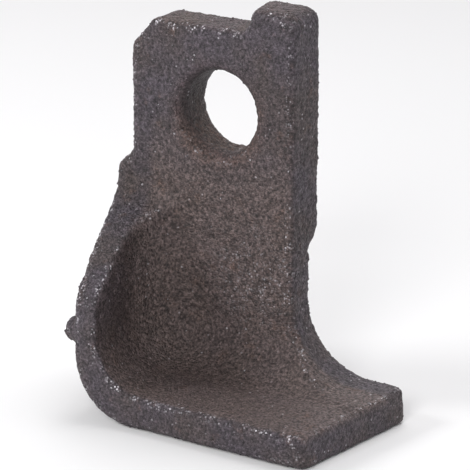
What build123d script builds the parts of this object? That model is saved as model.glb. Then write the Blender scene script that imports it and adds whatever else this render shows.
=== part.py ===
from build123d import *
import os
from math import cos, hypot, radians, sin, tan

# Cast scoop tooth: a flat shank with one pin eye runs down into an open cup, and the cup's flat foot
# carries the cutting edge. The tooth is one steel casting. Millimetres. The origin is the centre of the
# pin eye, +Y runs along the eye out of the mounting face, +X is the digging direction, and +Z points from
# the foot up to the tab.

# Pin eye
eye_diameter = 20.5
eye_thickness = 13.6
eye_lip_radius = 3.6

# Shank: distances from the eye's axis
trailing_width = 26.3  # to the trailing edge, towards -X
leading_width = 22.4  # to the leading edge, towards +X
crown_height = 22.0
crown_slope_width = 6.8  # sloped corner between the crown and the trailing edge
crown_slope_height = 7.6
tab_width = 13.0
tab_height = 6.0  # above the crown
tab_flare = 3.4  # how much wider the tab is at the mounting face than in front
tab_root_radius = 3.2
tab_corner_radius = 4.4  # between the tab and the leading edge
outline_corner_radius = 2.6

# Ledge on the trailing edge, which seats on the holder
ledge_width = 4.8
ledge_depth = 13.6  # below the eye's axis, to where the ledge starts
ledge_slope_height = 4.4
ledge_corner_radius = 2.4

# Mounting pad: the thick upper part, which stands proud of the lower back face
pad_depth = 30.0
pad_step = 4.0
pad_step_slope = 3.6

# Cup: depths are below the eye's axis, reach is in front of the shank's front face
foot_depth = 73.6
foot_thickness = 8.9
cup_reach = 33.5
heel_radius_at_shank = 19.0
heel_radius_at_mouth = 16.0
throat_radius = 18.5  # leading edge of the web, where it runs out into the foot
foot_taper = 1.5  # degrees; behind the bowl, the foot thins towards the cutting edge
wall_slant = 10.5  # how far the trailing wall leans in from the shank to the mouth
wall_thickness_at_shank = 11.2
wall_thickness_at_mouth = 6.8
bowl_radius = 13.0  # web and trailing wall to foot
bowl_corner_radius_at_top = 9.0  # web to trailing wall
bowl_corner_radius_at_floor = 17.0

# Rim of the trailing wall, seen from the side
rim_start_depth = 25.2
rim_end_depth = 43.0
rim_bow = 1.5
rim_nose_radius = 8.0
rim_root_radius = 7.0

# Cutting edge
edge_lead = 51.7  # eye's axis to the edge at the lower back face
edge_skew = 6.9  # degrees
edge_lean = 4.0  # degrees; the underside leads the top
edge_corner_radius = 3.4

# Stub left where the casting gate was broken off the trailing wall
gate_depth = 52.0
gate_setback = 4.6  # from the mouth
gate_diameter = 6.8
gate_projection = 2.9
gate_end_radius = 1.8

# Rounding of the cast edges
cast_edge_radius = 2.0

edge_allowance = 5.0  # how far the foot runs past the cutting edge before it is cut to shape
beyond = 40.0  # how far a cutting solid runs past the casting
near = 0.1  # how close an edge lies to where it is looked for

front_face = -eye_thickness / 2
mounting_face = eye_thickness / 2
lower_back_face = mounting_face - pad_step
mouth = front_face - cup_reach
foot_top = foot_thickness - foot_depth
ledge_face = -trailing_width - ledge_width
past_edge = edge_lead + edge_allowance


def facing_front(y):
    """Sketch plane at depth y, with sketch X along X, sketch Y along Z, and its normal towards the mouth."""
    return Plane(origin=(0, y, 0), x_dir=(1, 0, 0), z_dir=(0, -1, 0))


def along_x(profile):
    """Solid of a side profile drawn in (Y, Z), from past the trailing side to past the cutting edge."""
    start = ledge_face - beyond
    plane = Plane(origin=(start, 0, 0), x_dir=(0, 1, 0), z_dir=(1, 0, 0))
    return extrude(plane * profile, past_edge + beyond - start)


def lies_on(edge, axis, value):
    return all(abs(getattr(edge @ step, axis) - value) < near for step in (0, 0.5, 1))


def shank_outline(width_of_tab):
    crown_end = -trailing_width + crown_slope_width
    tab_side = leading_width - width_of_tab
    ledge_start = (-trailing_width, -ledge_depth)
    ledge_end = (ledge_face, -ledge_depth - ledge_slope_height)
    tab_root = (tab_side, crown_height)
    tab_corner = (leading_width, crown_height + tab_height)
    corners = [
        (-trailing_width, crown_height - crown_slope_height),
        (crown_end, crown_height),
        (tab_side, crown_height + tab_height),
    ]
    outline = Polyline(
        corners[0],
        corners[1],
        tab_root,
        corners[2],
        tab_corner,
        (leading_width, -pad_depth),
        (ledge_face, -pad_depth),
        ledge_end,
        ledge_start,
        close=True,
    )
    face = make_face(outline)

    def at(x, z):
        return face.vertices().sort_by_distance((x, z, 0))[0]

    face = fillet([at(*corner) for corner in corners], outline_corner_radius)
    face = fillet(at(*tab_corner), tab_corner_radius)
    face = fillet(at(*tab_root), tab_root_radius)
    return fillet([at(*ledge_start), at(*ledge_end)], ledge_corner_radius)


def lower_outline(trailing, heel_radius, top):
    """Web, foot and heel from the front, with the foot run past the cutting edge."""
    taper = radians(foot_taper)
    end_height = foot_top + edge_allowance * tan(taper)
    root_height = end_height + (past_edge - leading_width) * tan(taper)
    throat_height = root_height + throat_radius * (1 / cos(taper) - tan(taper))
    throat_start = (leading_width, throat_height)
    throat_end = (
        leading_width + throat_radius * (1 - sin(taper)),
        throat_height - throat_radius * cos(taper),
    )
    heel_start = (trailing + heel_radius, -foot_depth)
    heel_end = (trailing, heel_radius - foot_depth)
    lines = [
        Line((leading_width, top), throat_start),
        RadiusArc(throat_start, throat_end, -throat_radius),
        Line(throat_end, (past_edge, end_height)),
        Line((past_edge, end_height), (past_edge, -foot_depth)),
        Line((past_edge, -foot_depth), heel_start),
        RadiusArc(heel_start, heel_end, heel_radius),
        Line(heel_end, (trailing, top)),
        Line((trailing, top), (leading_width, top)),
    ]
    return make_face(Wire(lines))


def plate():
    """Shank, web and the back of the foot, at full thickness, with the pad's step cut into the back."""
    back_outline = facing_front(mounting_face) * shank_outline(tab_width + tab_flare)
    front_outline = facing_front(front_face) * shank_outline(tab_width)
    shank = loft([back_outline, front_outline], ruled=True)
    web_outline = lower_outline(ledge_face, heel_radius_at_shank, -pad_depth)
    web = extrude(facing_front(mounting_face) * web_outline, eye_thickness)
    step = make_face(
        Polyline(
            (mounting_face, -pad_depth),
            (lower_back_face, -pad_depth - pad_step_slope),
            (lower_back_face, -foot_depth - beyond),
            (mounting_face + beyond, -foot_depth - beyond),
            (mounting_face + beyond, -pad_depth),
            close=True,
        )
    )
    return shank + web - along_x(step)


def cup_block():
    """Cup before it is hollowed: it narrows from the shank to the mouth, where its outer edge is rounded."""
    trailing = ledge_face + wall_slant
    root = facing_front(front_face) * lower_outline(ledge_face, heel_radius_at_shank, -ledge_depth)
    end = facing_front(mouth) * lower_outline(trailing, heel_radius_at_mouth, -ledge_depth)
    block = loft([root, end], ruled=True)
    outer = []
    for edge in block.faces().sort_by(Axis.Y)[0].edges():
        middle = edge @ 0.5
        beside_or_below = middle.X < trailing + near or middle.Z < foot_top - near
        if beside_or_below and middle.X < edge_lead:
            outer.append(edge)
    return fillet(outer, cast_edge_radius)


def bowl_plan(z, corner_radius):
    """Plan of the hollow at one height, open towards the mouth and the cutting edge."""
    depth = cup_reach + beyond
    wall_run = wall_slant + wall_thickness_at_mouth - wall_thickness_at_shank
    root = (ledge_face + wall_thickness_at_shank, front_face)
    far = past_edge + beyond
    plan = make_face(
        Polyline(
            root,
            (root[0] + wall_run * depth / cup_reach, front_face - depth),
            (far, front_face - depth),
            (far, front_face),
            close=True,
        )
    )
    corner = plan.vertices().sort_by_distance((*root, 0))[0]
    return Plane.XY.offset(z) * fillet(corner, corner_radius)


def bowl():
    """Hollow of the cup: its upright corner is tighter at the rim and opens out towards the floor."""
    top = bowl_plan(-ledge_depth, bowl_corner_radius_at_top)
    floor = bowl_plan(foot_top, bowl_corner_radius_at_floor)
    hollow = loft([floor, top], ruled=True)
    around = hollow.faces().sort_by(Axis.Z)[0].edges()
    walled = [edge for edge in around if not lies_on(edge, "Y", mouth - beyond)]
    walled = [edge for edge in walled if not lies_on(edge, "X", past_edge + beyond)]
    return fillet(walled, bowl_radius)


def rim_cutter():
    """Everything above the rim of the trailing wall, from the shank's front face past the mouth."""
    start = (front_face, -rim_start_depth)
    end = (mouth, -rim_end_depth)
    profile = Wire(
        [
            SagittaArc(start, end, -rim_bow),
            Line(end, (mouth, -foot_depth)),
            Line((mouth, -foot_depth), (mouth - beyond, -foot_depth)),
            Line((mouth - beyond, -foot_depth), (mouth - beyond, beyond)),
            Line((mouth - beyond, beyond), (front_face, beyond)),
            Line((front_face, beyond), start),
        ]
    )
    face = make_face(profile)
    for corner, radius in ((end, rim_nose_radius), (start, rim_root_radius)):
        face = fillet(face.vertices().sort_by_distance((*corner, 0))[0], radius)
    return along_x(face)


def edge_cutter():
    """Everything past the cutting edge: its end face is skewed, leans, and has rounded upright corners."""
    back = (edge_lead, lower_back_face)
    front = (edge_lead - (lower_back_face - mouth) * tan(radians(edge_skew)), mouth)
    inner_back = (leading_width, lower_back_face)
    inner_front = (leading_width, mouth)
    foot = make_face(Polyline(inner_back, back, front, inner_front, close=True))
    for corner in (back, front):
        foot = fillet(foot.vertices().sort_by_distance((*corner, 0))[0], edge_corner_radius)
    middle = (lower_back_face + mouth) / 2
    around = Pos(past_edge, middle) * Rectangle(2 * (past_edge - leading_width), 3 * cup_reach)
    outside = Plane.XY.offset(-foot_depth) * (around - foot)
    lean = (-sin(radians(edge_lean)), 0, cos(radians(edge_lean)))
    return extrude(outside, 2 * foot_thickness, dir=lean) + extrude(outside, -foot_thickness, dir=lean)


def gate_stub():
    """Round stump on the outside of the trailing wall."""
    centre_y = mouth + gate_setback
    surface = ledge_face + wall_slant * (front_face - centre_y) / cup_reach
    inside = wall_thickness_at_mouth / 2
    root = Plane(origin=(surface + inside, centre_y, -gate_depth), z_dir=(-1, 0, 0))
    stub = extrude(root * Circle(gate_diameter / 2), inside + gate_projection)
    return fillet(stub.edges().sort_by(Axis.X)[0], gate_end_radius)


def rounded_back(casting):
    """Rounds the outlines of the mounting pad and of the lower back face, and the step's two ends."""
    step_end = -pad_depth - pad_step_slope
    step_middle = (step_end - pad_depth) / 2
    pad = [edge for edge in casting.edges() if lies_on(edge, "Y", mounting_face)]
    pad = [edge for edge in pad if not lies_on(edge, "Z", -pad_depth)]
    lower = [edge for edge in casting.edges() if lies_on(edge, "Y", lower_back_face)]
    lower = [edge for edge in lower if not lies_on(edge, "Z", step_end)]
    lower = [edge for edge in lower if not lies_on(edge, "X", past_edge)]
    ends = [edge for edge in casting.edges() if abs((edge @ 0.5).Z - step_middle) < near]
    ends = [edge for edge in ends if (edge @ 0.5).Y > lower_back_face]
    return fillet(pad + lower + ends, cast_edge_radius)


def rounded_front(casting):
    """Rounds the shank's front outline and the leading edge down into the bowl."""
    outline = [edge for edge in casting.edges() if lies_on(edge, "Y", front_face)]
    above_ledge = [edge for edge in outline if (edge @ 0.5).Z > -ledge_depth - ledge_slope_height]
    leading = [edge for edge in outline if lies_on(edge, "X", leading_width)]
    return fillet(above_ledge + leading, cast_edge_radius)


def with_eye(casting):
    """Bores the pin eye and rounds both of its lips."""
    casting = casting - Cylinder(eye_diameter / 2, 2 * eye_thickness, rotation=(90, 0, 0))
    lips = casting.edges().filter_by(GeomType.CIRCLE)
    lips = [edge for edge in lips if hypot(edge.arc_center.X, edge.arc_center.Z) < near]
    return fillet(lips, eye_lip_radius)


def tooth():
    cup = cup_block() - bowl() - rim_cutter()
    casting = rounded_back(plate() + cup)
    casting = rounded_front(casting)
    casting = with_eye(casting)
    casting = casting - edge_cutter()
    return casting + gate_stub()


os.makedirs("parts", exist_ok=True)
casting = tooth()
export_step(casting, "parts/tooth_casting.step")
print("tooth_casting", round(casting.volume), "mm3", casting.bounding_box())
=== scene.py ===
# Cast scoop tooth: the rough skin and fused grit of one steel casting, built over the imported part.
from math import cos, radians, sin

import bmesh
import bpy
import numpy as np
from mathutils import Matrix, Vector, kdtree


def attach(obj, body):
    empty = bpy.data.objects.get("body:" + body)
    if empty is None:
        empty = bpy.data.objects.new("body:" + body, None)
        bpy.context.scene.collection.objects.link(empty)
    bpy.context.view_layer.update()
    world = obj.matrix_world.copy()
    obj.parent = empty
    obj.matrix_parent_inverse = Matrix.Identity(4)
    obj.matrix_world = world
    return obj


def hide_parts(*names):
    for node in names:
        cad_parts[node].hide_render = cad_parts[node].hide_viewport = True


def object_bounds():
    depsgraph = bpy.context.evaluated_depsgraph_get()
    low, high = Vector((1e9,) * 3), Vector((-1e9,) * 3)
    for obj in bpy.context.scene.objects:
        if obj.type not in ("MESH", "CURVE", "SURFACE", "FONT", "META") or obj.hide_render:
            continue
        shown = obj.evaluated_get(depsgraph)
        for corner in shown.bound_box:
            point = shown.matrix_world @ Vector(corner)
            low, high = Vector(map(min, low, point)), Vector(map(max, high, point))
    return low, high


mm = 0.001

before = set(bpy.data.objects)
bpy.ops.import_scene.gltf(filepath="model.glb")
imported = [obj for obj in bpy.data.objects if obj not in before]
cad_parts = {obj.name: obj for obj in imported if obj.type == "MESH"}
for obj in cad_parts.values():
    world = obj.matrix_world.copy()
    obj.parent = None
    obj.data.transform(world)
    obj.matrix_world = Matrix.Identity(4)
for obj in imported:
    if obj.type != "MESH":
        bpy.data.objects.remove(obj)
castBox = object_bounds()
print("frame loaded, casting box", [round(side / mm, 1) for side in castBox[1] - castBox[0]])


def addNode(tree, kind, place, **settings):
    node = tree.nodes.new(kind)
    node.location = (place[0] * 200, place[1] * 160)
    for key, value in settings.items():
        setattr(node, key, value)
    return node


def wire(tree, source, target, fromSocket=0, toSocket=0):
    tree.links.new(source.outputs[fromSocket], target.inputs[toSocket])


def setInput(modifier, name, value):
    for item in modifier.node_group.interface.items_tree:
        if item.item_type == "SOCKET" and item.in_out == "INPUT" and item.name == name:
            modifier[item.identifier] = value
            return
    raise KeyError(name)


def meshArray(mesh):
    points = np.zeros(len(mesh.vertices) * 3)
    mesh.vertices.foreach_get("co", points)
    return points.reshape(-1, 3)


def pushArray(mesh, points):
    mesh.vertices.foreach_set("co", points.astype(np.float32).ravel())
    mesh.update()


def newObject(name, mesh):
    thing = bpy.data.objects.new(name, mesh)
    bpy.context.scene.collection.objects.link(thing)
    return thing


def bakedMesh(thing, name):
    # the modifiers' result as a plain mesh
    bpy.context.view_layer.update()
    graph = bpy.context.evaluated_depsgraph_get()
    ready = thing.evaluated_get(graph)
    mesh = bpy.data.meshes.new_from_object(ready, preserve_all_data_layers=True, depsgraph=graph)
    mesh.name = name
    return mesh


def heldInBox(mesh):
    # nothing stands outside the casting's own box
    pushArray(mesh, np.clip(meshArray(mesh), np.array(castBox[0]), np.array(castBox[1])))


skin = {
    "voxel": 0.50 * mm,
    "weld": 0.002 * mm,
    "sharpAngle": 32,        # degrees, edges that the mould would never leave this crisp
    "edgeReach": 3.0 * mm,   # how far the rounding runs in from such an edge
    "edgeStep": 0.4 * mm,    # spacing of the points that mark such an edge
    "edgeRounds": 24,
    "edgePull": 0.5,         # share of the way to the neighbours' mean, each round
    "evenRounds": 2,
    "evenPull": 0.45,
    "inset": 0.27 * mm,      # leaves room for the grains inside the box
    "waveHeight": 0.35 * mm,
    "waveSize": 12.0 * mm,
    "lumpHeight": 0.75 * mm,
    "lumpSize": 2.7 * mm,
    "grainHeight": 1.05 * mm,
    "grainSize": 1.25 * mm,
    "pitDepth": 0.55 * mm,
    "pitSize": 2.1 * mm,
    "pitNoise": (-0.30, -0.10),  # noise at a pit's floor and at its lip
    "noiseRoughness": 0.55,
    "seed": 7.0,
}

wearAndPaintedLight = {
    # lengths and heights in mm, in the casting's frame
    "bendRounds": 14,        # rounds of averaging, enough to spread a bend over about 2 mm
    "bendPull": 0.5,
    "edgeBend": 75.0,        # bend at which an outside edge counts fully as an edge, per metre
    "hollowBend": 28.0,      # bend of an inside corner that is full of dust, per metre
    "glintLightFrom": (-0.10, -0.72, 0.68),  # the lit side, up and to the front: outside edges turned to it get painted glints
    "glintFacingShare": (0.15, 0.9),          # painted-glint share of an edge side on to the light, and what facing the light adds
    "coarseHeights": (-68, -60, -48, -12, 6, 30),      # coarse sand in the cup, finer on the shank,
    "coarseShares": (0.25, 0.45, 1.0, 1.0, 0.6, 0.5),  # nearly smooth on the foot
    "cupWallDepths": (-40, -7),          # two points of the cup's side wall, in plan
    "cupWallAcross": (-13.8, -19.9),
    "cupHeights": (-67, -65, -18, -2),   # where the cup's lighter tone, dust and painted light, starts and ends
    "cupMouth": -39.4,
    "cupWeb": -5.5,
    "cupWallBlend": 2.5,
    "cupWebBlend": 1.2,
    "cupMouthBlend": 1.0,
    "throatGlintMiddle": (13.0, -9.0, -40.0),  # middle of a patch of painted glints on the throat, where it curves up toward the light
    "throatGlintReach": 17.0,
    "throatGlintEdge": 1.3,                    # how steeply it grows from that reach inwards
    "throatGlintShare": 0.50,
    "rustRing": 11.5,                    # from the eye's axis
    "rustWidth": 2.6,
    "rustHeights": (-6, 8),
    "rustShares": (1.0, 0.3),            # most below the eye
    "crownHeight": 17.0,                 # the crown's top faces stand above this
    "crownBlend": 3.0,
    "crownRust": 0.55,
    "upwardPair": (0.5, 1.0),            # how upright a face's normal is where rust starts and is full
    "boreShadeRing": 12.2,                    # painted shade on the eye's wall, nearer its axis than this
    "boreShadeBlend": 1.5,
    # the painted shade in the eye is stronger towards its top
    "boreShadeHeights": (-9, 0),
    "boreShadeShares": (0.2, 1.0),
}


def weldedCopy(node):
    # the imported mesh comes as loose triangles
    shape = bmesh.new()
    shape.from_mesh(node.data)
    bmesh.ops.remove_doubles(shape, verts=shape.verts, dist=skin["weld"])
    limit = radians(skin["sharpAngle"])
    crisp = []
    for edge in shape.edges:
        if len(edge.link_faces) == 2 and edge.calc_face_angle(0.0) > limit:
            start, end = edge.verts[0].co, edge.verts[1].co
            count = max(1, int((end - start).length / skin["edgeStep"]))
            crisp += [start.lerp(end, i / count) for i in range(count + 1)]
    mesh = bpy.data.meshes.new("castingCopy")
    shape.to_mesh(mesh)
    shape.free()
    return mesh, crisp


def edgePairs(mesh):
    pairs = np.zeros(len(mesh.edges) * 2, dtype=np.int64)
    mesh.edges.foreach_get("vertices", pairs)
    return pairs.reshape(-1, 2)


def neighbourMean(values, pairs, counts):
    total = np.zeros_like(values)
    for column in range(values.shape[1]):
        total[:, column] = np.bincount(pairs[:, 0], values[pairs[:, 1], column], len(values))
        total[:, column] += np.bincount(pairs[:, 1], values[pairs[:, 0], column], len(values))
    return total / counts[:, None]


def roundCrispEdges(mesh, crisp):
    tree = kdtree.KDTree(len(crisp))
    for index, point in enumerate(crisp):
        tree.insert(point, index)
    tree.balance()
    points = meshArray(mesh)
    gap = np.array([tree.find(point)[2] for point in points])
    near = np.clip(1 - gap / skin["edgeReach"], 0, 1)
    weight = (near * near * (3 - 2 * near))[:, None]
    pairs = edgePairs(mesh)
    counts = np.bincount(pairs.ravel(), minlength=len(points)).astype(float)
    for step in range(skin["edgeRounds"]):
        points += skin["edgePull"] * weight * (neighbourMean(points, pairs, counts) - points)
    for step in range(skin["evenRounds"]):
        points += skin["evenPull"] * (neighbourMean(points, pairs, counts) - points)
    pushArray(mesh, points)
    return pairs, counts


def pointNormals(mesh):
    normals = np.zeros(len(mesh.vertices) * 3)
    mesh.vertices.foreach_get("normal", normals)
    return normals.reshape(-1, 3)


def spreadBend(points, normals, pairs, counts):
    # how sharply the surface bends over about 2 mm: above nought on edges, below it in corners
    bend = ((points - neighbourMean(points, pairs, counts)) * normals).sum(1)[:, None]
    for step in range(wearAndPaintedLight["bendRounds"]):
        bend += wearAndPaintedLight["bendPull"] * (neighbourMean(bend, pairs, counts) - bend)
    return bend[:, 0] / (skin["voxel"] ** 2)


def cupShare(across, deep, height):
    # past the side wall, between the mouth and the web, above the foot
    wall = np.interp(deep, wearAndPaintedLight["cupWallDepths"], wearAndPaintedLight["cupWallAcross"])
    share = np.clip((across - wall) / wearAndPaintedLight["cupWallBlend"] + 0.5, 0, 1)
    share *= np.interp(height, wearAndPaintedLight["cupHeights"], (0, 1, 1, 0))
    share *= np.clip((wearAndPaintedLight["cupWeb"] - deep) / wearAndPaintedLight["cupWebBlend"], 0, 1)
    return share * np.clip((deep - wearAndPaintedLight["cupMouth"]) / wearAndPaintedLight["cupMouthBlend"], 0, 1)


def rustShare(ring, height, normals):
    # round the eye's lip, and on the crown's top faces
    rust = np.exp(-((ring - wearAndPaintedLight["rustRing"]) / wearAndPaintedLight["rustWidth"]) ** 2)
    rust *= np.interp(height, wearAndPaintedLight["rustHeights"], wearAndPaintedLight["rustShares"])
    upward = np.interp(normals[:, 2], wearAndPaintedLight["upwardPair"], (0, 1))
    onCrown = np.clip((height - wearAndPaintedLight["crownHeight"]) / wearAndPaintedLight["crownBlend"], 0, 1)
    return np.maximum(rust, wearAndPaintedLight["crownRust"] * upward * onCrown)


def markSurface(mesh, pairs, counts):
    # one attribute for each thing that changes the finish from place to place
    points = meshArray(mesh)
    normals = pointNormals(mesh)
    bend = spreadBend(points, normals, pairs, counts)
    across, deep, height = (points / mm).T
    ring = np.hypot(across, height)
    least, gain = wearAndPaintedLight["glintFacingShare"]
    # how far each point faces the light, which places the painted glints on edges
    facing = np.clip(least + gain * normals @ np.array(wearAndPaintedLight["glintLightFrom"]), 0, 1)
    outside = np.clip(bend / wearAndPaintedLight["edgeBend"], 0, 1)
    fromThroatGlints = np.linalg.norm(points / mm - np.array(wearAndPaintedLight["throatGlintMiddle"]), axis=1) / wearAndPaintedLight["throatGlintReach"]
    # painted shade on the eye's wall
    boreShade = np.clip((wearAndPaintedLight["boreShadeRing"] - ring) / wearAndPaintedLight["boreShadeBlend"], 0, 1)
    marks = {
        "edgeWear": outside,
        # painted glints on outside edges that face the light
        "litEdgeGlints": outside * facing,
        "hollow": np.clip(-bend / wearAndPaintedLight["hollowBend"], 0, 1),
        "coarse": np.interp(height, wearAndPaintedLight["coarseHeights"], wearAndPaintedLight["coarseShares"]),
        "inCup": cupShare(across, deep, height),
        "rusty": rustShare(ring, height, normals),
        # a patch of painted glints on the throat
        "throatGlints": wearAndPaintedLight["throatGlintShare"] * np.clip(wearAndPaintedLight["throatGlintEdge"] * (1 - fromThroatGlints), 0, 1),
        # painted shade inside the eye
        "paintedBoreShade": boreShade * np.interp(height, wearAndPaintedLight["boreShadeHeights"], wearAndPaintedLight["boreShadeShares"]),
    }
    for name, values in marks.items():
        layer = mesh.attributes.new(name, "FLOAT", "POINT")
        layer.data.foreach_set("value", values.astype(np.float32))
    print("surface marked,", len(marks), "attributes")


def noiseHeight(tree, place, size, seed, detail):
    # noise centred on nought, about one high, with features of the given size
    noise = addNode(tree, "ShaderNodeTexNoise", place, noise_dimensions="4D")
    noise.inputs["Detail"].default_value = detail
    noise.inputs["Roughness"].default_value = skin["noiseRoughness"]
    share = addNode(tree, "ShaderNodeMath", (place[0] - 1, place[1]), operation="DIVIDE")
    share.inputs[0].default_value = 1.0
    tree.links.new(size, share.inputs[1])
    tree.links.new(share.outputs[0], noise.inputs["Scale"])
    tree.links.new(seed, noise.inputs["W"])
    centred = addNode(tree, "ShaderNodeMath", (place[0] + 1, place[1]), operation="SUBTRACT")
    wire(tree, noise, centred)
    centred.inputs[1].default_value = 0.5
    return centred


def scaled(tree, place, source, height):
    node = addNode(tree, "ShaderNodeMath", place, operation="MULTIPLY")
    wire(tree, source, node)
    tree.links.new(height, node.inputs[1])
    return node


def summed(tree, place, first, second):
    total = addNode(tree, "ShaderNodeMath", place, operation="ADD")
    wire(tree, first, total)
    wire(tree, second, total, 0, 1)
    return total


def pitHeight(tree, given):
    # the low side of one more noise, pushed down and nothing pushed up
    pit = noiseHeight(tree, (-2, 1), given["Pit size"], given["Seed"], detail=1.0)
    dent = addNode(tree, "ShaderNodeMapRange", (0, 1))
    floor, lip = skin["pitNoise"]
    for name, value in (("From Min", floor), ("From Max", lip), ("To Min", -1.0), ("To Max", 0.0)):
        dent.inputs[name].default_value = value
    wire(tree, pit, dent)
    return scaled(tree, (1, 1), dent, given["Pit depth"])


def reliefTree(material):
    # moves each point of the skin in or out along its normal: slow waves, lumps, grains and pits
    tree = bpy.data.node_groups.new("castRelief", "GeometryNodeTree")
    face = tree.interface
    face.new_socket("Geometry", in_out="INPUT", socket_type="NodeSocketGeometry")
    for name in ("Inset", "Wave height", "Wave size", "Lump height", "Lump size",
                 "Grain height", "Grain size", "Pit depth", "Pit size", "Seed"):
        face.new_socket(name, in_out="INPUT", socket_type="NodeSocketFloat")
    face.new_socket("Geometry", in_out="OUTPUT", socket_type="NodeSocketGeometry")
    source = addNode(tree, "NodeGroupInput", (-6, 0))
    sink = addNode(tree, "NodeGroupOutput", (7, 0))
    given = source.outputs

    wave = noiseHeight(tree, (-2, 4), given["Wave size"], given["Seed"], detail=1.0)
    wave = scaled(tree, (0, 4), wave, given["Wave height"])
    lump = noiseHeight(tree, (-2, 3), given["Lump size"], given["Seed"], detail=2.0)
    lump = scaled(tree, (0, 3), lump, given["Lump height"])
    grain = noiseHeight(tree, (-2, 2), given["Grain size"], given["Seed"], detail=2.0)
    grain = scaled(tree, (0, 2), grain, given["Grain height"])

    coarse = addNode(tree, "GeometryNodeInputNamedAttribute", (0, 0), data_type="FLOAT")
    coarse.inputs["Name"].default_value = "coarse"
    sand = scaled(tree, (3, 2), summed(tree, (2, 1), grain, pitHeight(tree, given)), coarse.outputs[0])
    height = summed(tree, (2, 3), wave, lump)
    height = summed(tree, (4, 2), height, sand)
    lowered = addNode(tree, "ShaderNodeMath", (5, 2), operation="SUBTRACT")
    wire(tree, height, lowered)
    tree.links.new(given["Inset"], lowered.inputs[1])

    normal = addNode(tree, "GeometryNodeInputNormal", (4, 0))
    offset = addNode(tree, "ShaderNodeVectorMath", (5, 1), operation="SCALE")
    wire(tree, normal, offset)
    wire(tree, lowered, offset, 0, "Scale")
    move = addNode(tree, "GeometryNodeSetPosition", (5, -1))
    wire(tree, source, move, "Geometry", "Geometry")
    wire(tree, offset, move, 0, "Offset")
    real = addNode(tree, "GeometryNodeRealizeInstances", (6, -1))
    wire(tree, move, real)
    painted = addNode(tree, "GeometryNodeSetMaterial", (6, 0))
    painted.inputs["Material"].default_value = material
    wire(tree, real, painted)
    wire(tree, painted, sink)
    return tree


def makeSkin(material):
    mesh, crisp = weldedCopy(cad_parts["tooth_casting"])
    block = newObject("castingBlock", mesh)
    remesh = block.modifiers.new("evenGrid", "REMESH")
    remesh.mode = "VOXEL"
    remesh.voxel_size = skin["voxel"]
    even = bakedMesh(block, "evenCasting")
    bpy.data.objects.remove(block)
    pairs, counts = roundCrispEdges(even, crisp)
    markSurface(even, pairs, counts)
    print("skin grid", len(even.vertices), "points,", len(crisp), "edge points")

    block = newObject("cast_skin", even)
    relief = block.modifiers.new("castRelief", "NODES")
    relief.node_group = reliefTree(material)
    for name, key in (("Inset", "inset"), ("Wave height", "waveHeight"), ("Wave size", "waveSize"),
                      ("Lump height", "lumpHeight"), ("Lump size", "lumpSize"),
                      ("Grain height", "grainHeight"), ("Grain size", "grainSize"),
                      ("Pit depth", "pitDepth"), ("Pit size", "pitSize"), ("Seed", "seed")):
        setInput(relief, name, skin[key])
    rough = bakedMesh(block, "castSkin")
    block.modifiers.remove(relief)
    block.data = rough
    for polygon in rough.polygons:
        polygon.use_smooth = True
    heldInBox(rough)
    return block


grit = {
    "fineSize": 0.62 * mm,
    "finePerCm2": 34.0,
    "edgeSize": 0.80 * mm,
    "edgePerCm2": 50.0,
    "sink": 0.22 * mm,
    "leastShape": (0.6, 0.6, 0.5),  # of the grain's size, along its three axes
    "mostShape": (1.5, 1.4, 1.1),
    "mostTurn": (6.28, 6.28, 6.28),  # radians
    "seed": 21,
}


def grainLayer(tree, given, level, size, density):
    # one size of grain, each sunk a little into the skin, with its own shape and turn
    scatter = addNode(tree, "GeometryNodeDistributePointsOnFaces", (-2, level))
    tree.links.new(given["Geometry"], scatter.inputs["Mesh"])
    tree.links.new(density, scatter.inputs["Density"])
    tree.links.new(given["Seed"], scatter.inputs["Seed"])
    under = addNode(tree, "ShaderNodeMath", (-3, level - 2), operation="MULTIPLY")
    tree.links.new(given["Sink"], under.inputs[0])
    under.inputs[1].default_value = -1.0
    down = addNode(tree, "ShaderNodeVectorMath", (-2, level - 2), operation="SCALE")
    wire(tree, scatter, down, "Normal")
    wire(tree, under, down, 0, "Scale")
    sunk = addNode(tree, "GeometryNodeSetPosition", (-1, level))
    wire(tree, scatter, sunk, "Points", "Geometry")
    wire(tree, down, sunk, 0, "Offset")

    stone = addNode(tree, "GeometryNodeMeshIcoSphere", (-1, level - 1))
    stone.inputs["Radius"].default_value = 0.5  # one across, so that a size is a diameter
    stone.inputs["Subdivisions"].default_value = 1
    spread = addNode(tree, "FunctionNodeRandomValue", (0, level - 1), data_type="FLOAT_VECTOR")
    spread.inputs["Min"].default_value = grit["leastShape"]
    spread.inputs["Max"].default_value = grit["mostShape"]
    tree.links.new(given["Seed"], spread.inputs["Seed"])
    bulk = addNode(tree, "ShaderNodeVectorMath", (1, level - 1), operation="SCALE")
    wire(tree, spread, bulk)
    tree.links.new(size, bulk.inputs["Scale"])
    turn = addNode(tree, "FunctionNodeRandomValue", (0, level - 2), data_type="FLOAT_VECTOR")
    turn.inputs["Max"].default_value = grit["mostTurn"]
    tree.links.new(given["Seed"], turn.inputs["Seed"])
    place = addNode(tree, "GeometryNodeInstanceOnPoints", (2, level))
    wire(tree, sunk, place, "Geometry", "Points")
    wire(tree, stone, place, "Mesh", "Instance")
    wire(tree, turn, place, 0, "Rotation")
    wire(tree, bulk, place, 0, "Scale")
    return place


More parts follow.
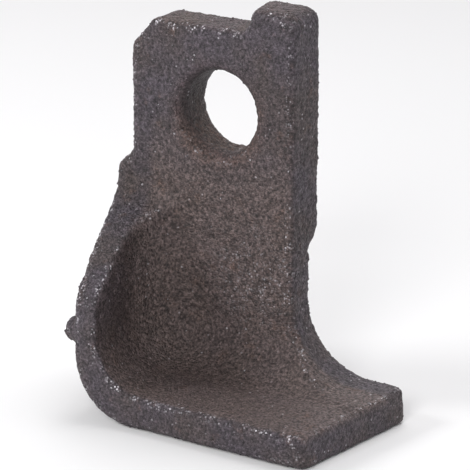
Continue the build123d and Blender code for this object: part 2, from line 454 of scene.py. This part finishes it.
def gritTree(material):
    # grains fused to the skin: thin all over, thicker along the worn edges
    tree = bpy.data.node_groups.new("castGrit", "GeometryNodeTree")
    face = tree.interface
    face.new_socket("Geometry", in_out="INPUT", socket_type="NodeSocketGeometry")
    for name in ("Fine size", "Fine density", "Edge size", "Edge density", "Sink"):
        face.new_socket(name, in_out="INPUT", socket_type="NodeSocketFloat")
    face.new_socket("Seed", in_out="INPUT", socket_type="NodeSocketInt")
    face.new_socket("Geometry", in_out="OUTPUT", socket_type="NodeSocketGeometry")
    source = addNode(tree, "NodeGroupInput", (-6, 0))
    sink = addNode(tree, "NodeGroupOutput", (6, 0))
    given = source.outputs

    edges = addNode(tree, "GeometryNodeInputNamedAttribute", (-5, -3), data_type="FLOAT")
    edges.inputs["Name"].default_value = "edgeWear"
    onEdges = scaled(tree, (-3, -4), edges, given["Edge density"]).outputs[0]
    joined = addNode(tree, "GeometryNodeJoinGeometry", (4, 0))
    wire(tree, grainLayer(tree, given, 2, given["Fine size"], given["Fine density"]), joined)
    wire(tree, grainLayer(tree, given, -3, given["Edge size"], onEdges), joined)

    real = addNode(tree, "GeometryNodeRealizeInstances", (5, 0))
    wire(tree, joined, real)
    painted = addNode(tree, "GeometryNodeSetMaterial", (5, -1))
    painted.inputs["Material"].default_value = material
    wire(tree, real, painted)
    wire(tree, painted, sink)
    return tree


def makeGrit(block, material):
    carrier = newObject("cast_grit", block.data.copy())
    scatter = carrier.modifiers.new("castGrit", "NODES")
    scatter.node_group = gritTree(material)
    perCm2 = 10000.0  # square centimetres in the square metre that a density is given for
    setInput(scatter, "Fine size", grit["fineSize"])
    setInput(scatter, "Fine density", grit["finePerCm2"] * perCm2)
    setInput(scatter, "Edge size", grit["edgeSize"])
    setInput(scatter, "Edge density", grit["edgePerCm2"] * perCm2)
    setInput(scatter, "Sink", grit["sink"])
    setInput(scatter, "Seed", grit["seed"])
    grains = bakedMesh(carrier, "castGrit")
    carrier.modifiers.remove(scatter)
    carrier.data = grains
    heldInBox(grains)
    print("grit", len(grains.polygons), "faces")
    return carrier


finish = {
    # sizes in mm; a Pair or Chance is where a ramp starts and ends, Shades are its results there
    "greyTone": (0.068, 0.055, 0.067),
    "brownTone": (0.069, 0.051, 0.049),
    # lighter brown for the cup: partly dust, partly painted light in the cup's shade
    "cupDustAndLightTone": (0.124, 0.091, 0.084),
    "rustTone": (0.15, 0.075, 0.045),
    "darkTone": (0.022, 0.018, 0.018),
    # near-white colour painted on as glints
    "glintTone": (0.95, 0.91, 0.97),
    "driftSize": 15.0,       # slow change from grey scale to brown
    "driftPair": (0.38, 0.62),
    "driftShare": 0.75,
    "hollowShare": 0.5,
    "cupShare": 0.72,
    "patchSize": 4.5,        # rust patches
    "patchPair": (0.60, 0.75),
    "patchShare": 0.30,
    "ringShare": 0.30,
    "grainSize": 0.70,
    "grainPair": (0.33, 0.67),
    "grainShades": (0.40, 1.55),
    "crystalSize": 0.55,
    "crystalShades": (0.55, 1.45),
    "lumpSize": 1.5,
    "pitPair": (0.43, 0.30),
    "pitShare": 0.75,
    # painted shade inside the eye, mixed toward the dark tone
    "boreShadeShare": 0.6,
    "strayGlintChance": (0.988, 0.993),  # painted glints on stray crystals anywhere
    "strayGlintShare": 0.5,
    "edgeGlintPair": (0.30, 0.80),      # painted glints on outside edges that face the light
    "edgeGlintChance": (0.52, 0.62),
    "glintClusterSize": 2.6,
    "glintClusterPair": (0.42, 0.62),
    "glintCorePair": (0.62, 0.34),
    "glintCoreShades": (0.10, 1.0),
    "glintMetal": 0.35,
    "polishPair": (0.3, 0.7),
    "roughness": (0.72, 0.48),     # between the grains and on top of them
    "glintPolish": 0.6,             # roughness of a painted glint, as a share of the skin's
    "roundEdge": 0.9,              # how far out a crystal's rounded top reaches, in crystal sizes
    "reliefShares": (0.45, 0.35, 0.2),  # crystals, grains, lumps
    "grainBump": 0.75,
    "specular": 0.5,
    "patternRoughness": 0.6,
}


def mixColour(tree, place, amount, first, second):
    mix = addNode(tree, "ShaderNodeMix", place, data_type="RGBA")
    for socket, value in ((6, first), (7, second)):
        if isinstance(value, tuple):
            mix.inputs[socket].default_value = (*value, 1.0)
        else:
            tree.links.new(value, mix.inputs[socket])
    tree.links.new(amount, mix.inputs[0])
    return mix.outputs[2]


def ramp(tree, place, source, low, high, bottom=0.0, top=1.0):
    node = addNode(tree, "ShaderNodeMapRange", place)
    tree.links.new(source, node.inputs["Value"])
    for name, value in (("From Min", low), ("From Max", high), ("To Min", bottom), ("To Max", top)):
        node.inputs[name].default_value = value
    return node.outputs[0]


def product(tree, place, first, second):
    node = addNode(tree, "ShaderNodeMath", place, operation="MULTIPLY")
    tree.links.new(first, node.inputs[0])
    if isinstance(second, float):
        node.inputs[1].default_value = second
    else:
        tree.links.new(second, node.inputs[1])
    return node.outputs[0]


def added(tree, place, first, second):
    node = addNode(tree, "ShaderNodeMath", place, operation="ADD", use_clamp=True)
    tree.links.new(first, node.inputs[0])
    tree.links.new(second, node.inputs[1])
    return node.outputs[0]


def speckle(tree, place, coords, size, detail=2.0):
    node = addNode(tree, "ShaderNodeTexNoise", place)
    node.inputs["Scale"].default_value = 1.0 / size
    node.inputs["Detail"].default_value = detail
    node.inputs["Roughness"].default_value = finish["patternRoughness"]
    tree.links.new(coords, node.inputs["Vector"])
    return node.outputs[0]


def mark(tree, row, name):
    # one of the attributes that markSurface left on the skin
    return addNode(tree, "ShaderNodeAttribute", (-7, row), attribute_name=name).outputs["Fac"]


def dustRustAndCupLightTone(tree, coords):
    # slow drift between blue-grey scale and brown dust, then a lighter brown in the cup, partly dust and
    # partly painted light, then rust
    drift = speckle(tree, (-5, 3), coords, finish["driftSize"])
    patches = speckle(tree, (-5, 2), coords, finish["patchSize"], detail=3.0)
    dust = ramp(tree, (-4, 3), drift, *finish["driftPair"], 0.0, finish["driftShare"])
    corners = ramp(tree, (-4, -4), mark(tree, -4, "hollow"), 0.0, 1.0, 0.0, finish["hollowShare"])
    dust = added(tree, (-3, 3), dust, corners)
    tone = mixColour(tree, (-2, 3), dust, finish["greyTone"], finish["brownTone"])
    # the cup painted lighter where it sits in shade, with a dust tint
    inCup = product(tree, (-4, 4), mark(tree, -6, "inCup"), finish["cupShare"])
    tone = mixColour(tree, (-2, 4), inCup, tone, finish["cupDustAndLightTone"])
    rust = product(tree, (-2, 2), ramp(tree, (-4, 2), patches, *finish["patchPair"]), finish["patchShare"])
    ring = product(tree, (-3, 2), mark(tree, -7, "rusty"), finish["ringShare"])
    return mixColour(tree, (-1, 3), added(tree, (-2, 1), rust, ring), tone, finish["rustTone"])


def grainyTone(tree, tone, grains, lumps, chance):
    # each crystal has its own tone, dark between the grains, with pits and painted shade inside the eye
    shade = addNode(tree, "ShaderNodeVectorMath", (0, 3), operation="SCALE")
    tree.links.new(tone, shade.inputs[0])
    depth = ramp(tree, (-4, 0), grains, *finish["grainPair"], *finish["grainShades"])
    own = ramp(tree, (-4, 1), chance.outputs[2], 0.0, 1.0, *finish["crystalShades"])
    tree.links.new(product(tree, (-3, 0), depth, own), shade.inputs["Scale"])
    pits = product(tree, (-3, -1), ramp(tree, (-4, -1), lumps, *finish["pitPair"]), mark(tree, -5, "coarse"))
    pits = product(tree, (-2, -1), pits, finish["pitShare"])
    boreShade = product(tree, (-2, 0), mark(tree, -9, "paintedBoreShade"), finish["boreShadeShare"])
    return mixColour(tree, (1, 3), added(tree, (-1, -1), pits, boreShade), shade.outputs[0], finish["darkTone"])


def paintedGlints(tree, coords, crystals, chance):
    # painted glints: near-white specks on edges that face the light and on the throat, with a few all over
    strayGlints = ramp(tree, (-3, -2), chance.outputs[0], *finish["strayGlintChance"])
    strayGlints = product(tree, (-2, -2), strayGlints, finish["strayGlintShare"])
    edgeGlints = ramp(tree, (-3, -3), mark(tree, -3, "litEdgeGlints"), *finish["edgeGlintPair"])
    edgeGlints = added(tree, (-2, -4), edgeGlints, mark(tree, -8, "throatGlints"))
    edgeGlints = product(tree, (-2, -3), edgeGlints, ramp(tree, (-3, -4), chance.outputs[0], *finish["edgeGlintChance"]))
    clusters = speckle(tree, (-4, -5), coords, finish["glintClusterSize"], detail=1.0)
    edgeGlints = product(tree, (-1, -3), edgeGlints, ramp(tree, (-3, -5), clusters, *finish["glintClusterPair"]))
    core = ramp(tree, (-4, -3), crystals.outputs["Distance"], *finish["glintCorePair"])
    own = ramp(tree, (-2, -7), chance.outputs[1], 0.0, 1.0, *finish["glintCoreShades"])
    return product(tree, (0, -2), added(tree, (-1, -2), strayGlints, edgeGlints), product(tree, (-1, -1), core, own))


def grainRelief(tree, crystals, grains, lumps):
    # each crystal stands up as a rounded grain
    crystalShare, grainShare, lumpShare = finish["reliefShares"]
    tops = ramp(tree, (-3, -5), crystals.outputs["Distance"], 0.0, finish["roundEdge"], crystalShare, 0.0)
    fine = added(tree, (-1, -5), tops, product(tree, (-2, -5), grains, grainShare))
    return added(tree, (0, -4), fine, product(tree, (-2, -6), lumps, lumpShare))


def castFinish():
    material = bpy.data.materials.new("castSteelSkin")
    material.use_nodes = True
    tree = material.node_tree
    shader = tree.nodes["Principled BSDF"]
    shader.location = (1600, 0)
    tree.nodes["Material Output"].location = (1900, 0)
    where = addNode(tree, "ShaderNodeTexCoord", (-8, 0))
    scale = addNode(tree, "ShaderNodeMapping", (-7, 0))
    scale.inputs["Scale"].default_value = (1000.0, 1000.0, 1000.0)  # millimetres from here on
    wire(tree, where, scale, "Object", "Vector")
    coords = scale.outputs[0]

    grains = speckle(tree, (-5, 0), coords, finish["grainSize"], detail=3.0)
    lumps = speckle(tree, (-5, -1), coords, finish["lumpSize"])
    crystals = addNode(tree, "ShaderNodeTexVoronoi", (-5, -2))
    crystals.inputs["Scale"].default_value = 1.0 / finish["crystalSize"]
    tree.links.new(coords, crystals.inputs["Vector"])
    chance = addNode(tree, "ShaderNodeSeparateColor", (-4, -2))
    wire(tree, crystals, chance, "Color", "Color")  # three random numbers for each crystal

    glints = paintedGlints(tree, coords, crystals, chance)
    tone = grainyTone(tree, dustRustAndCupLightTone(tree, coords), grains, lumps, chance)
    # painted glints: near-white colour, partly metal and smoother
    tone = mixColour(tree, (2, 3), glints, tone, finish["glintTone"])
    tree.links.new(tone, shader.inputs["Base Color"])
    metal = ramp(tree, (3, 0), glints, 0.0, 1.0, 0.0, finish["glintMetal"])
    tree.links.new(metal, shader.inputs["Metallic"])

    polish = ramp(tree, (2, 0), grains, *finish["polishPair"], *finish["roughness"])
    polish = product(tree, (3, 1), polish, ramp(tree, (2, -1), glints, 0.0, 1.0, 1.0, finish["glintPolish"]))
    tree.links.new(polish, shader.inputs["Roughness"])
    shader.inputs["Specular IOR Level"].default_value = finish["specular"]

    bump = addNode(tree, "ShaderNodeBump", (4, -3))
    bump.inputs["Strength"].default_value = 1.0
    bump.inputs["Distance"].default_value = finish["grainBump"] * mm
    tree.links.new(grainRelief(tree, crystals, grains, lumps), bump.inputs["Height"])
    wire(tree, bump, shader, "Normal", "Normal")
    return material


castSteel = castFinish()
print("finish ready")
castSkin = makeSkin(castSteel)
castGrit = makeGrit(castSkin, castSteel)
for piece in (castSkin, castGrit):
    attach(piece, "root")
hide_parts("tooth_casting")
print("casting built,", sum(len(p.data.polygons) for p in (castSkin, castGrit)), "faces")


studio = {
    "floorSide": 6.0,
    "floorTone": (0.92, 0.92, 0.925),
    "floorRoughness": 0.8,
    "skyTone": (1.0, 0.985, 1.0),
    "skyBehind": 1.25,       # the wall behind the casting is lit
    "skyInFront": 0.22,
    "skyPair": (0.0, 0.75),  # how far round to the back the wall starts to be lit and is fully lit
    "lamps": (
        # name, place and side in metres, power in watts; aimed at the middle of the casting
        ("keyLamp", (0.20, -0.72, 0.40), 0.35, 3.1),
        ("leftLamp", (-0.65, -0.42, 0.45), 0.35, 3.4),
        ("topLamp", (-0.05, 0.25, 0.80), 0.50, 2.2),
    ),
}

view = {
    # turn and down in degrees, lens and sensor in mm, clip in metres
    "place": (367.03 * mm, -563.43 * mm, 191.61 * mm),
    "turn": 33.0,
    "down": 18.5,
    "lens": 214.47,
    "sensor": 36.0,
    "clip": (0.01, 50.0),
}


def plainMaterial(name, tone, roughness):
    material = bpy.data.materials.new(name)
    material.use_nodes = True
    shader = material.node_tree.nodes["Principled BSDF"]
    shader.inputs["Base Color"].default_value = (*tone, 1.0)
    shader.inputs["Roughness"].default_value = roughness
    return material


def makeFloor():
    half = studio["floorSide"] / 2
    level = castBox[0].z
    mesh = bpy.data.meshes.new("floor")
    corners = [(-half, -half, level), (half, -half, level), (half, half, level), (-half, half, level)]
    mesh.from_pydata(corners, [], [(0, 1, 2, 3)])
    mesh.materials.append(plainMaterial("paleFloor", studio["floorTone"], studio["floorRoughness"]))
    floor = newObject("floor", mesh)


def makeLight():
    world = bpy.data.worlds.new("softRoom")
    bpy.context.scene.world = world
    world.use_nodes = True
    tree = world.node_tree
    sky = tree.nodes["Background"]
    sky.inputs["Color"].default_value = (*studio["skyTone"], 1.0)
    way = addNode(tree, "ShaderNodeTexCoord", (-4, 0))
    parts = addNode(tree, "ShaderNodeSeparateXYZ", (-3, 0))
    wire(tree, way, parts, "Generated")
    least, most = studio["skyInFront"], studio["skyBehind"]
    strength = ramp(tree, (-1, 0), parts.outputs["Y"], *studio["skyPair"], least, most)
    tree.links.new(strength, sky.inputs["Strength"])
    middle = (castBox[0] + castBox[1]) / 2
    for name, place, side, power in studio["lamps"]:
        lamp = bpy.data.lights.new(name, "AREA")
        lamp.shape = "DISK"
        lamp.size = side
        lamp.energy = power
        stand = newObject(name, lamp)
        stand.location = place
        stand.rotation_euler = (middle - Vector(place)).to_track_quat("-Z", "Y").to_euler()


def makeCamera():
    turn, down = radians(view["turn"]), radians(view["down"])
    ahead = Vector((-sin(turn) * cos(down), cos(turn) * cos(down), -sin(down)))
    lens = bpy.data.cameras.new("camera")
    lens.sensor_width = view["sensor"]
    lens.lens = view["lens"]
    lens.clip_start, lens.clip_end = view["clip"]
    camera = newObject("camera", lens)
    camera.location = view["place"]
    camera.rotation_euler = ahead.to_track_quat("-Z", "Y").to_euler()
    bpy.context.scene.camera = camera


makeFloor()
makeLight()
makeCamera()
bpy.context.scene.view_settings.view_transform = "Standard"
print("studio ready")
